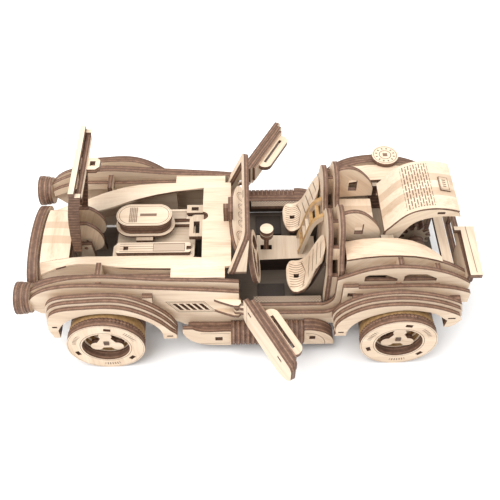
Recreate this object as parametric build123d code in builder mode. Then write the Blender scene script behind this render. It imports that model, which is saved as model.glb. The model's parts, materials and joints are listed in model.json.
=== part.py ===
"""Laser-cut plywood model of a classic open roadster, as an assembly of separate pieces.

The car's nose points along -X, its left (driver's) side along -Y, and +Z is up.
The origin is on the ground, midway between nose and tail. The bonnet, both doors
and the boot lid are modelled open. All lengths are in millimetres.
"""

from build123d import *
from math import atan2, cos, hypot, pi, radians, sin, sqrt
import os

# ---------------------------------------------------------------- driving dimensions
PLY = 4.0              # thickness of the plywood sheet
SKIN = 2.0             # thickness of the bent deck skins, thinned by their kerfs
RUNNING_FIT = 0.05     # radial clearance of a shaft in its hole

WHEEL_R = 31.0         # rolling radius
WHEEL_FACE = 93.0      # half width over the wheels' outer faces
FRONT_AXLE_X = -115.0
WHEELBASE = 235.0
REAR_AXLE_X = FRONT_AXLE_X + WHEELBASE
AXLE_Z = WHEEL_R
AXLE_R = 3.0
AXLE_SQUARE = 4.2      # width of the axle's square ends

FLOOR_Z = 20.0         # underside of the floor plate
FLOOR_TOP = FLOOR_Z + PLY
FORMER_Y = 46.6        # outer face of the formers that carry the decks
RAIL_Y = 60.6          # outer face of the inner rails
PANEL_Y = 67.0         # outer face of the side panels
ARCH_Y = 84.0          # outer face of the outermost wheel arches
SILL_Z = 36.0          # top of the side panel below the door
PANEL_FOOT = 22.5      # bottom of the side panel
NOSE_X = -174.0        # front end of rails and side panels
TAIL_X = 176.0         # rear end of rails and side panels
DOOR_FRONT = -8.0      # front edge of the door opening
DOOR_BACK = 74.0       # rear edge of the door opening

PIN_R = 1.5            # hinge pins

GEAR_MODULE = 2.0
DRIVE_TEETH = 22
PINION_TEETH = 12
DRUM_SHAFT_R = 2.5
DRUM_X = REAR_AXLE_X + 22.0
DRUM_Z = AXLE_Z + sqrt((GEAR_MODULE * (DRIVE_TEETH + PINION_TEETH) / 2) ** 2 - 22.0 ** 2)

BONNET_PIN = (-134.0, 64.5)        # x, z of the bonnet's hinge axis
LID_PIN = (111.0, 86.0)            # x, z of the boot lid's hinge axis
DOOR_PIN = (-9.8, -70.0)           # x, y of the left door's hinge axis
DOOR_OPEN = 61.7                   # degrees the doors stand open


# ---------------------------------------------------------------- helpers
def run(kind, *points):
    """One stretch of an outline: a polyline ("line") or a smooth curve ("curve")."""
    return kind, points


def draw(runs):
    """Draws the stretches of a closed outline inside a BuildLine."""
    for kind, points in runs:
        if kind == "curve":
            Spline(*points)
        else:
            Polyline(*points)


def ply(plane, runs, thickness=PLY, holes=(), boxes=()):
    """A flat ply with the given outline, round holes (u, v, r) and slots (u, v, w, h)."""
    with BuildPart() as sheet:
        with BuildSketch(plane):
            with BuildLine():
                draw(runs)
            make_face()
            for u, v, r in holes:
                with Locations((u, v)):
                    Circle(r, mode=Mode.SUBTRACT)
            for u, v, w, h in boxes:
                with Locations((u, v)):
                    Rectangle(w, h, mode=Mode.SUBTRACT)
        extrude(amount=thickness)
    return sheet.part


def side_plane(y):
    """An XZ plane at the given y, so that an extrusion grows towards -Y."""
    return Plane.XZ.offset(-y)


def mirrored(part):
    """The same piece on the other side of the car."""
    return mirror(part, about=Plane.XZ)


def lofted(sections, plane_at):
    """A solid through polygons: sections are (position, corner points)."""
    with BuildPart() as body:
        for position, corners in sections:
            with BuildSketch(plane_at(position)):
                with BuildLine():
                    Polyline(*corners, close=True)
                make_face()
        loft(ruled=True)
    return body.part


def across(x):
    """A YZ plane at the given x, with local axes (y, z)."""
    return Plane.YZ.offset(x)


def level(z):
    """An XY plane at the given height."""
    return Plane.XY.offset(z)


def save(name, *solids):
    """Labels a node and writes it, with its solids kept apart."""
    shapes = [solid for part in solids for solid in part.solids()]
    node = shapes[0] if len(shapes) == 1 else Compound(children=shapes)
    node.label = name
    export_step(node, f"parts/{name}.step")
    return node


def box(x0, x1, y0, y1, z0, z1):
    """A rectangular piece between its lowest and highest corners."""
    with BuildPart() as block:
        with Locations(((x0 + x1) / 2, (y0 + y1) / 2, (z0 + z1) / 2)):
            Box(x1 - x0, y1 - y0, z1 - z0)
    return block.part


def disc(centre, axis_plane, radius, thickness, hole=0.0):
    """A round ply whose back face is centred at a point, extruded along the plane's normal."""
    plane = Plane(origin=centre, x_dir=axis_plane.x_dir, z_dir=axis_plane.z_dir)
    with BuildPart() as wheel:
        with BuildSketch(plane):
            Circle(radius)
            if hole:
                Circle(hole, mode=Mode.SUBTRACT)
        extrude(amount=thickness)
    return wheel.part


os.makedirs("parts", exist_ok=True)

# ---------------------------------------------------------------- floor
with BuildPart() as floor:
    with BuildSketch(level(FLOOR_Z)):
        with BuildLine():
            Polyline(
                (-152, -40), (-60, -40), (-60, -56), (70, -56), (70, -44), (166, -44),
                (166, 44), (70, 44), (70, 56), (-60, 56), (-60, 40), (-152, 40), close=True)
        make_face()
        with Locations((REAR_AXLE_X, 0)):
            Rectangle(56, 20, mode=Mode.SUBTRACT)
    extrude(amount=PLY)
save("floor_plate", floor.part)

# ---------------------------------------------------------------- side panels
PANEL_RUNS = [
    run("curve", (NOSE_X, 60), (-163, 70.3), (-143, 76), (-114.6, 76.1), (-77, 72.7),
        (-38, 69.4), (DOOR_FRONT, 66)),
    run("line", (DOOR_FRONT, 66), (DOOR_FRONT, 44)),
    run("curve", (DOOR_FRONT, 44), (-6, 38.5), (0, SILL_Z)),
    run("line", (0, SILL_Z), (60, SILL_Z)),
    run("curve", (60, SILL_Z), (69, 39.5), (DOOR_BACK, 48)),
    run("line", (DOOR_BACK, 48), (DOOR_BACK, 71.5), (86, 71.5), (86, 70)),
    run("curve", (86, 70), (122.5, 71.1), (158.5, 68.2), (TAIL_X, 62)),
    run("line", (TAIL_X, 62), (TAIL_X, 50), (154, 50)),
    run("curve", (154, 50), (149.6, 54.7), (REAR_AXLE_X, 68.5), (89, 52), (80, 24)),
    run("line", (80, 24), (78, PANEL_FOOT), (-52, PANEL_FOOT), (-60, 29), (-76, 29)),
    run("curve", (-76, 29), (-84, 52), (FRONT_AXLE_X, 68.5), (-141, 59), (-152, 42)),
    run("line", (-152, 42), (-168, 42), (NOSE_X, 48), (NOSE_X, 60)),
]
LOUVRE_X = [-61.5 + 5.2 * i for i in range(5)]


def louvred_panel():
    """The side panel with five slanted louvres behind the front wheel."""
    with BuildPart() as panel:
        with BuildSketch(side_plane(-PANEL_Y + PLY)):
            with BuildLine():
                draw(PANEL_RUNS)
            make_face()
            for x in LOUVRE_X:
                with BuildLine():
                    Polyline((x, 53), (x + 3.2, 53), (x + 9.2, 44), (x + 6, 44), close=True)
                make_face(mode=Mode.SUBTRACT)
            with Locations((81, 62)):
                Rectangle(6, 4.5, mode=Mode.SUBTRACT)
        extrude(amount=PLY)
    return panel.part


side_panel = louvred_panel()
save("side_panel_left", side_panel)
save("side_panel_right", mirrored(side_panel))

# ---------------------------------------------------------------- inner rails
RAIL_RUNS = [
    run("curve", (NOSE_X, 63), (-155.6, 73.3), (-139, 78), (-121, 79.6), (-77, 75.4),
        (-38, 73.3), (DOOR_FRONT, 71)),
    run("line", (DOOR_FRONT, 71), (DOOR_FRONT, 52)),
    run("curve", (DOOR_FRONT, 52), (-5, 43), (4, 38.5)),
    run("line", (4, 38.5), (61, 38.5)),
    run("curve", (61, 38.5), (67, 43), (70, 52)),
    run("line", (70, 52), (70, 72.5)),
    run("curve", (70, 72.5), (79, 77.2), (94, 84.2), (118, 87.4), (141, 84.3), (158, 78),
        (TAIL_X, 66)),
    run("line", (TAIL_X, 66), (TAIL_X, 48), (160, FLOOR_TOP), (-150, FLOOR_TOP), (-168, 42),
        (NOSE_X, 48), (NOSE_X, 63)),
]


def window(x0, x1, z0, z1):
    """Corners of a cut-out below the rear arch, with a sloping shoulder at one end."""
    shoulder_x = x1 - 0.35 * (x1 - x0)
    return [(x0, z0), (x1, z0), (x1, z0 + 3), (shoulder_x, z1), (x0 + 3, z1), (x0, z1 - 2)]


def rail():
    """The inner rail: bearing holes for both axles, and windows below the rear arch."""
    with BuildPart() as body:
        with BuildSketch(side_plane(-RAIL_Y + PLY)):
            with BuildLine():
                draw(RAIL_RUNS)
            make_face()
            with Locations((FRONT_AXLE_X, AXLE_Z), (REAR_AXLE_X, AXLE_Z)):
                Circle(AXLE_R + RUNNING_FIT, mode=Mode.SUBTRACT)
            for corners in (window(91, 117, 71, 79), window(122, 148, 71, 79.5)):
                with BuildLine():
                    Polyline(*corners, close=True)
                make_face(mode=Mode.SUBTRACT)
        extrude(amount=PLY)
    return body.part


rail_part = rail()
save("inner_rail_left", rail_part)
save("inner_rail_right", mirrored(rail_part))

# ---------------------------------------------------------------- deck formers
# The front deck's ribbons: x, then y and height of the inner and of the outer edge.
RIBBON = [(-171.8, 29.6, 58.2, 35.5, 49.8), (-167, 28.6, 58.8, 35.0, 52.8),
          (-158, 27.2, 59.4, 34.8, 57.6), (-149, 25.8, 59.8, 34.9, 61.3),
          (-140.6, 25.0, 60.0, 35.6, 64.0), (-133, 24.8, 60.3, 37.0, 66.2),
          (-125, 26.0, 61.6, 39.0, 68.2), (-117, 27.4, 63.2, 41.2, 69.6),
          (-106, 29.6, 66.2, 43.9, 70.7), (-94, 31.6, 68.8, 45.8, 71.3),
          (-78, 33.9, 71.6, 46.7, 71.8), (-62, 35.6, 73.4, 47.1, 71.9)]
WALL_FOOT = 44.0           # bottom of the bent walls below the ribbons


def wall_section(y_in, z_in, y_out, z_out):
    """Section of the bent wall that carries a ribbon's outer edge."""
    drop = PLY * (z_out - z_in) / (y_out - y_in)
    top = z_out - 0.2
    return [(y_out - PLY, WALL_FOOT), (y_out, WALL_FOOT), (y_out, top), (y_out - PLY, top - drop)]


ribbon_wall = lofted([(x, wall_section(*edges)) for x, *edges in RIBBON], across)
front_former = ply(side_plane(-FORMER_Y + PLY),
                   [run("line", (-148, FLOOR_TOP), (-62, FLOOR_TOP), (-62, 43.6), (-150, 43.6),
                        (-148, FLOOR_TOP))],
                   holes=[(FRONT_AXLE_X, AXLE_Z, AXLE_R + RUNNING_FIT)])
STRINGER_Y = 50.0
stringers = [
    ply(side_plane(-STRINGER_Y), [
        run("curve", (-171.8, 61.5), (-156, 68.6), (-139, 70.5), (-122, 70.4)),
        run("line", (-122, 70.4), (-122, 64), (-140, 64), (-156, 62.4), (-171.8, 55.5),
            (-171.8, 61.5))]),
    ply(side_plane(-STRINGER_Y), [
        run("line", (-117, 70.2), (-62, 71), (-62, 64), (-117, 64), (-117, 70.2))]),
]
# The rear former's top: x, height and the inner edge of the deck strip that it carries.
REAR_STRIP = [(77, 83.4, 31.5), (91, 86.6, 31.5), (104, 88.2, 32), (118, 88.4, 32.6),
              (130, 87.2, 34.4), (140, 84.8, 37.6), (147, 82.4, 41), (153, 79.8, 45)]
REAR_FORMER = [
    run("line", *[(x, z) for x, z, _ in REAR_STRIP], (160, 76.2), (167, 72), (174, 67),
        (174, 48), (158, FLOOR_TOP), (77, FLOOR_TOP), (77, 83.4)),
]
REAR_FORMER_Y = 50.0
rear_former = ply(side_plane(-REAR_FORMER_Y + PLY), REAR_FORMER,
                  holes=[(REAR_AXLE_X, AXLE_Z, AXLE_R + RUNNING_FIT),
                         (DRUM_X, DRUM_Z, DRUM_SHAFT_R + RUNNING_FIT)],
                  boxes=[(100, 62, 22, 14)])
former_pieces = [mirrored(ribbon_wall), front_former, rear_former, *stringers]
save("deck_formers", *former_pieces, *[mirrored(p) for p in former_pieces])

# ---------------------------------------------------------------- wheel arches
FRONT_OUTER_TOP = [(-157.5, 58), (-153.8, 64), (-129.6, 70.7), (-113.4, 71.9), (-99, 70.2),
                   (-84.6, 63), (-70.4, 49.9), (-63.4, 39.6)]
FRONT_OUTER_LOW = [(-69.5, 31), (-71.2, 41.2), (-85.3, 57.2), (FRONT_AXLE_X, 65.2),
                   (-139.8, 57.4), (-152, 42)]


def front_arch(rise, spread, foot):
    """One ply of the front wheel arch, rise mm taller and spread mm longer than the outer one."""
    top = [(x - spread * (1 if x < FRONT_AXLE_X else -0.4), z + rise)
           for x, z in FRONT_OUTER_TOP]
    low = FRONT_OUTER_LOW
    return [
        run("curve", *top),
        run("line", top[-1], (foot, 34), (foot, 28.5), (-69.5, 28.5), low[0]),
        run("curve", *low),
        run("line", low[-1], (-152, 32), (-157, 32), (-159.5 - spread, 44), top[0]),
    ]


REAR_OUTER_TOP = [(70, 33), (72, 49.2), (79, 57.5), (89.8, 65), (104.8, 69.3),
                  (120, 70.3), (140, 67.1), (157, 60.5), (166, 55)]
REAR_OUTER_LOW = [(144.5, 60), (136, 62.3), (REAR_AXLE_X, 64.2), (102, 59.4), (87.5, 50),
                  (82, 43), (78.5, 33)]


def rear_arch(rise, spread):
    """One ply of the rear wheel arch, rise mm taller and spread mm longer than the outer one."""
    top = [(x + spread * (x - REAR_AXLE_X) / 50, z + rise) for x, z in REAR_OUTER_TOP]
    low = REAR_OUTER_LOW
    return [
        run("curve", *top),
        run("line", top[-1], (168 + spread, 50), (164, 43), (160, 40), (156, 40), (157, 49),
            low[0]),
        run("curve", *low),
        run("line", low[-1], (78.5, 29), (69, 29), top[0]),
    ]


ARCH_STEPS = ((0.0, 0.0), (2.6, 1.2), (4.4, 2.4))   # rise and spread, from the outside in
front_plies = []
rear_plies = []
for layer, (rise, spread) in enumerate(ARCH_STEPS):
    back_face = -ARCH_Y + (layer + 1) * PLY
    front_plies.append(ply(side_plane(back_face), front_arch(rise, spread, -58.5),
                           boxes=[(-154, 47, 4, 2), (-64, 32, 5, 1.6)] if layer == 0 else ()))
    rear_plies.append(ply(side_plane(back_face), rear_arch(rise, spread),
                          boxes=[(160, 52, 6, 1.6), (74, 34, 4.5, 1.6)] if layer == 0 else ()))
save("front_arches_left", *front_plies)
save("front_arches_right", *[mirrored(p) for p in front_plies])
save("rear_arches_left", *rear_plies)
save("rear_arches_right", *[mirrored(p) for p in rear_plies])

# ---------------------------------------------------------------- spacers between the plies
ARCH_INNER = ARCH_Y - 3 * PLY
spacers = []
for x, z in ((-150, 60), (-80, 66), (86, 62), (164, 58)):
    spacers.append(box(x - 4, x + 4, -ARCH_INNER, -PANEL_Y, z - 4, z + 2))
for x, y_in, z0, z1 in ((-119.5, 41.4, 60, 75), (-70, 47.2, 45, 64),
                        (118.5, REAR_FORMER_Y, 60, 88), (149, REAR_FORMER_Y, 60, 80)):
    spacers.append(box(x - PLY / 2, x + PLY / 2, -RAIL_Y + PLY, -y_in, z0, z1))
for x, z0, z1 in ((-118, 70, 75), (-30, 50, 66), (118.5, 50, 69.5), (149, 50, 68),
                  (-60, 30, 45), (30, 26, 33), (79, 30, 60)):
    spacers.append(box(x - PLY / 2, x + PLY / 2, -PANEL_Y + PLY, -RAIL_Y, z0, z1))
save("fender_spacers", *spacers, *[mirrored(p) for p in spacers])

# ---------------------------------------------------------------- front deck and nose
OPENING_BACK = -37.5
SCUTTLE_BACK = -14.0
SCUTTLE_HALF = [(0, 77.0), (20, 76.4), (38.5, 74.5), (46.6, 72.4), (56.2, 71.0)]


def ribbon_section(y_in, z_in, y_out, z_out):
    """Section of a deck ribbon between its inner and outer edges."""
    return [(y_in, z_in), (y_out, z_out), (y_out, z_out + SKIN), (y_in, z_in + SKIN)]


def shoulder_section(*edge):
    """Section of the deck's shoulder, through three points."""
    return [*edge, *[(y, z + SKIN) for y, z in reversed(edge)]]


front_strip = lofted([(x, ribbon_section(*edges)) for x, *edges in RIBBON], across)
shoulder = lofted(
    [(-62, shoulder_section((35.6, 73.4), (45.6, 72.0), (56.2, 71.0))),
     (OPENING_BACK, shoulder_section((38.5, 74.5), (45.6, 72.6), (56.2, 71.0)))], across)

with BuildPart() as scuttle:
    with BuildSketch(across(OPENING_BACK)):
        with BuildLine():
            Polyline(*[(-y, z) for y, z in reversed(SCUTTLE_HALF)], *SCUTTLE_HALF[1:],
                     *[(y, z + SKIN) for y, z in reversed(SCUTTLE_HALF)],
                     *[(-y, z + SKIN) for y, z in SCUTTLE_HALF[1:]], close=True)
        make_face()
    extrude(amount=SCUTTLE_BACK - OPENING_BACK)
    with BuildSketch(level(60)):
        with Locations((-4, 0)):
            Ellipse(11, 36)
        with Locations((OPENING_BACK, 4)):
            Circle(4.5)
        for side in (-1, 1):
            with BuildLine():
                Polyline((-19, side * 46.4), (-13, side * 46.4), (-13, side * 58),
                         (-19, side * 58), close=True)
            make_face()
    extrude(amount=30, mode=Mode.SUBTRACT)
save("bonnet_deck", front_strip, mirrored(front_strip), shoulder, mirrored(shoulder), scuttle.part)

NOSE = [(-171.8, 29.2, 58.2, 5.4), (-166, 28.2, 58.8, 5.0), (-158, 26.8, 59.4, 4.0),
        (-148, 25.4, 59.8, 2.5)]      # x, half width, edge height, crown


def nose_section(half, edge, crown):
    """Section of the nose panel, crowned between its edges."""
    lower = [(half * k / 3, edge + crown * (1 - (k / 3) ** 2)) for k in range(-3, 4)]
    return lower + [(y, z + SKIN) for y, z in reversed(lower)]


nose = lofted([(x, nose_section(half, edge, crown)) for x, half, edge, crown in NOSE], across)
save("nose_panel", nose)

SURROUND = (44.0, 21.0)       # half width and half height of the radiator mouth's surround
MOUTH = (37.0, 14.5)
MOUTH_Z = 45.5
with BuildPart() as surround:
    for x in (NOSE_X - 2 * PLY, NOSE_X - PLY):
        with BuildSketch(across(x)):
            with Locations((0, MOUTH_Z)):
                Ellipse(*SURROUND)
                Ellipse(*MOUTH, mode=Mode.SUBTRACT)
        extrude(amount=PLY)

with BuildPart() as grille:
    with BuildSketch(across(NOSE_X)):
        with Locations((0, MOUTH_Z)):
            Ellipse(40, 17.5)
            with GridLocations(7.6, 8.4, 7, 3):
                Rectangle(5.2, 5.8, mode=Mode.SUBTRACT)
    extrude(amount=PLY / 2)
save("radiator_mouth", surround.part, grille.part)

LAMP_Y, LAMP_Z, LAMP_R = 59.4, 53.4, 13.3
lamps = []
for side in (-1, 1):
    for x, radius, hole in ((-186, LAMP_R, 8.5), (-182, LAMP_R - 0.4, 0.0), (-178, 12.0, 0.0)):
        lamps.append(disc((x, side * LAMP_Y, LAMP_Z), Plane.YZ, radius, PLY, hole))
save("headlights", *lamps)

# ---------------------------------------------------------------- bonnet, standing open
# Along the raised bonnet: height, x of its outer face, x of its inner edge, half width.
BONNET = [(66.0, -143.0, -137.0, 22.6), (78.0, -142.4, -135.4, 24.0),
          (92.0, -141.2, -133.2, 26.2), (106.0, -139.4, -131.4, 28.6),
          (120.0, -137.0, -128.8, 31.2), (134.0, -133.8, -125.4, 34.2),
          (146.0, -130.6, -122.4, 37.0)]


def bonnet_skin_section(x_face, half):
    """Section of the bonnet skin between its two side formers."""
    y = half - PLY
    return [(x_face, -y), (x_face + SKIN, -y), (x_face + SKIN, y), (x_face, y)]


skin = lofted([(z, bonnet_skin_section(x, half)) for z, x, _, half in BONNET], level)
save("bonnet_skin", skin)


def former_section(x_face, x_inner, half):
    """Section of a bonnet side former."""
    return [(x_face, half - PLY), (x_inner, half - PLY), (x_inner, half), (x_face, half)]


side_former = lofted([(z, former_section(x, x_in, half)) for z, x, x_in, half in BONNET], level)
BONNET_TOP = BONNET[-1][0]
top_bar = box(-130.6, -126.6, -37, 37, BONNET_TOP, BONNET_TOP + PLY)
inner_bar = box(-126.3, -122.6, -32.8, 32.8, BONNET_TOP - 6, BONNET_TOP - 2)
liner = []
for side in (-1, 1):
    liner.append(lofted(
        [(z, [(x_in - 5.2, side * y0), (x_in - 3.2, side * y0), (x_in - 3.2, side * y1),
              (x_in - 5.2, side * y1)])
         for (z, x_in, y0, y1) in ((84, -134.6, 13, 21), (112, -130.4, 17, 25),
                                   (139.6, -124.0, 22, 31.6))], level))


def latch_tab():
    """The latch tab under the free edge, with its square slot."""
    with BuildPart() as tab:
        with BuildSketch(level(138)):
            with BuildLine():
                Polyline((-128.6, -4), (-116, -4), (-113, -1), (-113, 6), (-116, 9),
                         (-128.6, 9), close=True)
            make_face()
            with Locations((-118.5, 2.5)):
                Rectangle(4.2, 5, mode=Mode.SUBTRACT)
        extrude(amount=PLY)
    return tab.part


save("bonnet_formers", side_former, mirrored(side_former), top_bar, inner_bar, *liner, latch_tab())

ARM_Y = 8.5
bonnet_arms = []
for side in (-1, 1):
    y_out = side * ARM_Y + PLY / 2
    arm_runs = [
        run("curve", (-140.9, 66), (-139, 57), (-131, 52.5), (-122.5, 57), (-120.2, 66),
            (-123, 76), (-131.5, 85)),
        run("line", (-131.5, 85), (-139.6, 85), (-140.3, 78), (-140.9, 66)),
    ]
    bonnet_arms.append(ply(side_plane(y_out), arm_runs,
                           holes=[(*BONNET_PIN, PIN_R + RUNNING_FIT)]))
save("bonnet_hinge_arms", *bonnet_arms)

# ---------------------------------------------------------------- engine bay
with BuildPart() as hinge_posts:
    for y in (-ARM_Y - 7, ARM_Y + 7):
        with BuildSketch(side_plane(y + PLY / 2)):
            with BuildLine():
                Polyline((-142, FLOOR_TOP), (-126, FLOOR_TOP), (-129.5, 68), (-138.5, 68),
                         close=True)
            make_face()
        extrude(amount=PLY)
bonnet_pin = disc((BONNET_PIN[0], ARM_Y + 9.5, BONNET_PIN[1]), Plane.XZ, PIN_R, 2 * ARM_Y + 19)
posts = hinge_posts.part.cut(bonnet_pin)
save("bonnet_hinge_posts", posts, bonnet_pin)

TILT = radians(10)                 # slope of the steering column
STEER_CENTRE = (2.4, -31.6, 67.6)
COLUMN_R = 2.5
steer_plane = Plane(origin=STEER_CENTRE, x_dir=(0, 1, 0), z_dir=(cos(TILT), 0, sin(TILT)))

with BuildPart() as firewall:
    with BuildSketch(across(-37)):
        with BuildLine():
            Polyline((-42, FLOOR_TOP), (42, FLOOR_TOP), (42, 69.5), (30, 73.5), (-30, 73.5),
                     (-42, 69.5), close=True)
        make_face()
        with Locations((0, 40)):
            Rectangle(16, 12, mode=Mode.SUBTRACT)
    extrude(amount=PLY)
    with BuildSketch(steer_plane.offset(-46)):
        Circle(COLUMN_R + RUNNING_FIT)
    extrude(amount=16, mode=Mode.SUBTRACT)
radiator = ply(across(-152), [run("line", (-31, FLOOR_TOP), (31, FLOOR_TOP), (28, 55), (-28, 55),
                                  (-31, FLOOR_TOP))], boxes=[(-14, 40, 20, 16), (14, 40, 20, 16)])

ENGINE_X0, ENGINE_X1 = -113.0, -45.0
ENGINE_Y = 2.0
block = [
    box(ENGINE_X0 + 4, ENGINE_X1 - 2, ENGINE_Y - 18, ENGINE_Y - 14, FLOOR_TOP, 50),
    box(ENGINE_X0 + 4, ENGINE_X1 - 2, ENGINE_Y + 14, ENGINE_Y + 18, FLOOR_TOP, 50),
    box(ENGINE_X0 + 2, ENGINE_X1, ENGINE_Y - 27, ENGINE_Y + 27, 50, 54),
    box(ENGINE_X0 + 6, ENGINE_X0 + 10, ENGINE_Y - 14, ENGINE_Y + 14, FLOOR_TOP, 50),
    disc((ENGINE_X0, ENGINE_Y, 42), Plane.YZ, 7.5, PLY),
    disc((ENGINE_X0, ENGINE_Y - 19, 44), Plane.YZ, 5, PLY),
    box(-94, -80, -8, 12.6, 54, 62),
]
save("engine_block", *block)

covers = []
for y0 in (ENGINE_Y - 26, ENGINE_Y + 11):
    with BuildPart() as cover:
        with BuildSketch(level(54)):
            with Locations(((ENGINE_X0 + ENGINE_X1) / 2, y0 + 7.5)):
                RectangleRounded(68, 15, 3)
        extrude(amount=PLY)
        with BuildSketch(level(54 + PLY)):
            with Locations(((ENGINE_X0 + ENGINE_X1) / 2, y0 + 8.2)):
                RectangleRounded(62, 11, 2)
            with Locations((ENGINE_X0 + 11, y0 + 7.5), (ENGINE_X1 - 4.5, y0 + 7.5)):
                Rectangle(4, 4, mode=Mode.SUBTRACT)
        extrude(amount=PLY)
    covers.append(cover.part)
save("valve_covers", *covers)

FILTER_X, FILTER_Y = -87.0, 9.0
filter_layers = []
for z, height, length, width in ((62, 1.6, 50, 27), (63.6, 7.6, 44, 22), (71.2, PLY, 46.5, 24)):
    with BuildPart() as layer:
        with BuildSketch(level(z)):
            with Locations((FILTER_X, FILTER_Y)):
                SlotOverall(length, width)
        extrude(amount=height)
    filter_layers.append(layer.part)
save("air_filter", *filter_layers)

brackets = [
    ply(level(66), [run("line", (-49, -11), (-37, -11), (-37, 13), (-45, 13), (-49, 9), (-49, -11))],
        boxes=[(-43, -1, 5, 13)]),
    ply(level(64), [run("line", (-52, 18), (-37, 18), (-37, 27), (-52, 27), (-52, 18))],
        thickness=3, boxes=[(-45, 22.5, 6, 4)]),
]
save("bulkheads", firewall.part, radiator, *brackets)

# ---------------------------------------------------------------- windscreen and dash
SCREEN_BASE = (-17.0, 69.4)
SCREEN_TOP = (-2.7, 112.3)
SCREEN_LEN = hypot(SCREEN_TOP[0] - SCREEN_BASE[0], SCREEN_TOP[1] - SCREEN_BASE[1])
RAKE_X = (SCREEN_TOP[0] - SCREEN_BASE[0]) / SCREEN_LEN
RAKE_Z = (SCREEN_TOP[1] - SCREEN_BASE[1]) / SCREEN_LEN
screen_plane = Plane(origin=(SCREEN_BASE[0], 0, SCREEN_BASE[1]), x_dir=(0, 1, 0),
                     z_dir=(RAKE_Z, 0, -RAKE_X))
SCREEN_FOOT_Y, SCREEN_TOP_Y, SCREEN_BAR = 55.0, 45.9, 6.0
with BuildPart() as screen:
    with BuildSketch(screen_plane):
        with BuildLine():
            Polyline((-SCREEN_FOOT_Y, 0), (-SCREEN_TOP_Y, SCREEN_LEN),
                     (SCREEN_TOP_Y, SCREEN_LEN), (SCREEN_FOOT_Y, 0), close=True)
        make_face()
        fillet(vertices().group_by(Axis.Z)[-1], 7)
        with BuildLine(mode=Mode.PRIVATE) as inner:
            Polyline((-SCREEN_FOOT_Y + SCREEN_BAR + 1, -1), (-SCREEN_TOP_Y + SCREEN_BAR, 38.5),
                     (-SCREEN_TOP_Y + SCREEN_BAR + 5, SCREEN_LEN - SCREEN_BAR),
                     (SCREEN_TOP_Y - SCREEN_BAR - 5, SCREEN_LEN - SCREEN_BAR),
                     (SCREEN_TOP_Y - SCREEN_BAR, 38.5), (SCREEN_FOOT_Y - SCREEN_BAR - 1, -1),
                     close=True)
        make_face(inner.edges(), mode=Mode.SUBTRACT)
    extrude(amount=PLY)

LEAN = (SCREEN_FOOT_Y - SCREEN_TOP_Y) / (SCREEN_TOP[1] - SCREEN_BASE[1])
LEAN_LEN = hypot(1, LEAN)
GUSSET_Z = 73.4


def screen_back(rise):
    """Where the frame's rear face is, a distance up the leaning gusset from its foot."""
    z = GUSSET_Z + rise / LEAN_LEN
    return SCREEN_BASE[0] + (z - SCREEN_BASE[1]) * RAKE_X / RAKE_Z + PLY / RAKE_Z


gusset_plane = Plane(origin=(0, -49.6, GUSSET_Z), x_dir=(1, 0, 0),
                     z_dir=(0, -1 / LEAN_LEN, LEAN / LEAN_LEN))
gusset = ply(gusset_plane, [run("line", (screen_back(0), 0), (-2, 0), (screen_back(33) + 1, 33),
                                (screen_back(33), 33), (screen_back(0), 0))])
save("windscreen", screen.part, gusset, mirrored(gusset))

dash_plane = Plane(origin=(-9, 0, 77.5), x_dir=(0, 1, 0), z_dir=(0.62, 0, 0.785))
with BuildPart() as dash:
    with BuildSketch(dash_plane):
        Ellipse(36, 8.4)
    extrude(amount=PLY)
save("dash_panel", dash.part)

save("rear_view_mirror", box(-16, -12, -8, 8, 87, 97), box(-20, -16, -2.5, 2.5, 79, 95))

# ---------------------------------------------------------------- cockpit
LEVER_X, LEVER_Z = 16.0, 32.0
with BuildPart() as tunnel:
    with BuildSketch(level(37)):
        with BuildLine():
            Polyline((8, -14), (58, -12), (58, 12), (8, 14), close=True)
        make_face()
        with Locations((LEVER_X, 0)):
            Rectangle(10, 5, mode=Mode.SUBTRACT)
    extrude(amount=PLY)
tunnel_sides = [ply(side_plane(y), [run("line", (8, FLOOR_TOP), (58, FLOOR_TOP), (58, 37), (8, 37),
                                        (8, FLOOR_TOP))],
                    holes=[(LEVER_X, LEVER_Z, PIN_R)]) for y in (12, -8)]
lever_pin = disc((LEVER_X, 12, LEVER_Z), Plane.XZ, PIN_R, 24)
CONSOLE = [(43, 41), (46.4, 55), (49.6, 70), (54, 83), (61.7, 90)]
CONSOLE_INNER = [(47, 41), (49.4, 54), (52.6, 68), (56.4, 79), (61.7, 84.4)]
console_sides = [ply(side_plane(y), [run("curve", *CONSOLE), run("line", (61.7, 90), (61.7, 84.4)),
                                     run("curve", *reversed(CONSOLE_INNER)),
                                     run("line", (47, 41), (43, 41))]) for y in (13.6, -4.4)]
console_slats = [box(x, x + 3, -4.4, 9.6, z, z + 3)
                 for x, z in ((45, 46), (47, 55), (49, 64), (51.6, 73), (56, 81))]
save("tunnel", tunnel.part, *tunnel_sides, lever_pin, *console_sides, *console_slats)

MAT = 1.6
mats = [box(8, 31, side * 39 - 11, side * 39 + 11, FLOOR_TOP, FLOOR_TOP + MAT) for side in (-1, 1)]
sill_plates = [box(4, 60, -RAIL_Y + PLY, -50.5, 34.5, 38.5)]
save("cockpit_trim", *mats, *sill_plates, *[mirrored(p) for p in sill_plates])

SEAT_Y = 33.0
SEAT_FRONT = [(31.8, 46.0), (36, 43.6), (40.3, 42.8), (45.5, 46), (49.5, 54), (53.2, 66),
              (56.5, 76), (60.3, 87)]
SEAT_BACK = [(31.8, 43.2), (36, 40.6), (41, 39.8), (47, 42.6), (52.2, 53), (56, 65),
             (59.3, 75.2), (61.7, 86.2)]
# Half of the seat's outline from above: x and the distance from its middle.
SEAT_HALF = [(31.6, 0), (33.2, 10.5), (37.4, 16.2), (43, 16), (48, 14.6), (52, 12.4),
             (55.5, 11.8), (58.6, 10.4), (60.6, 6), (61.4, 0)]


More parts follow.
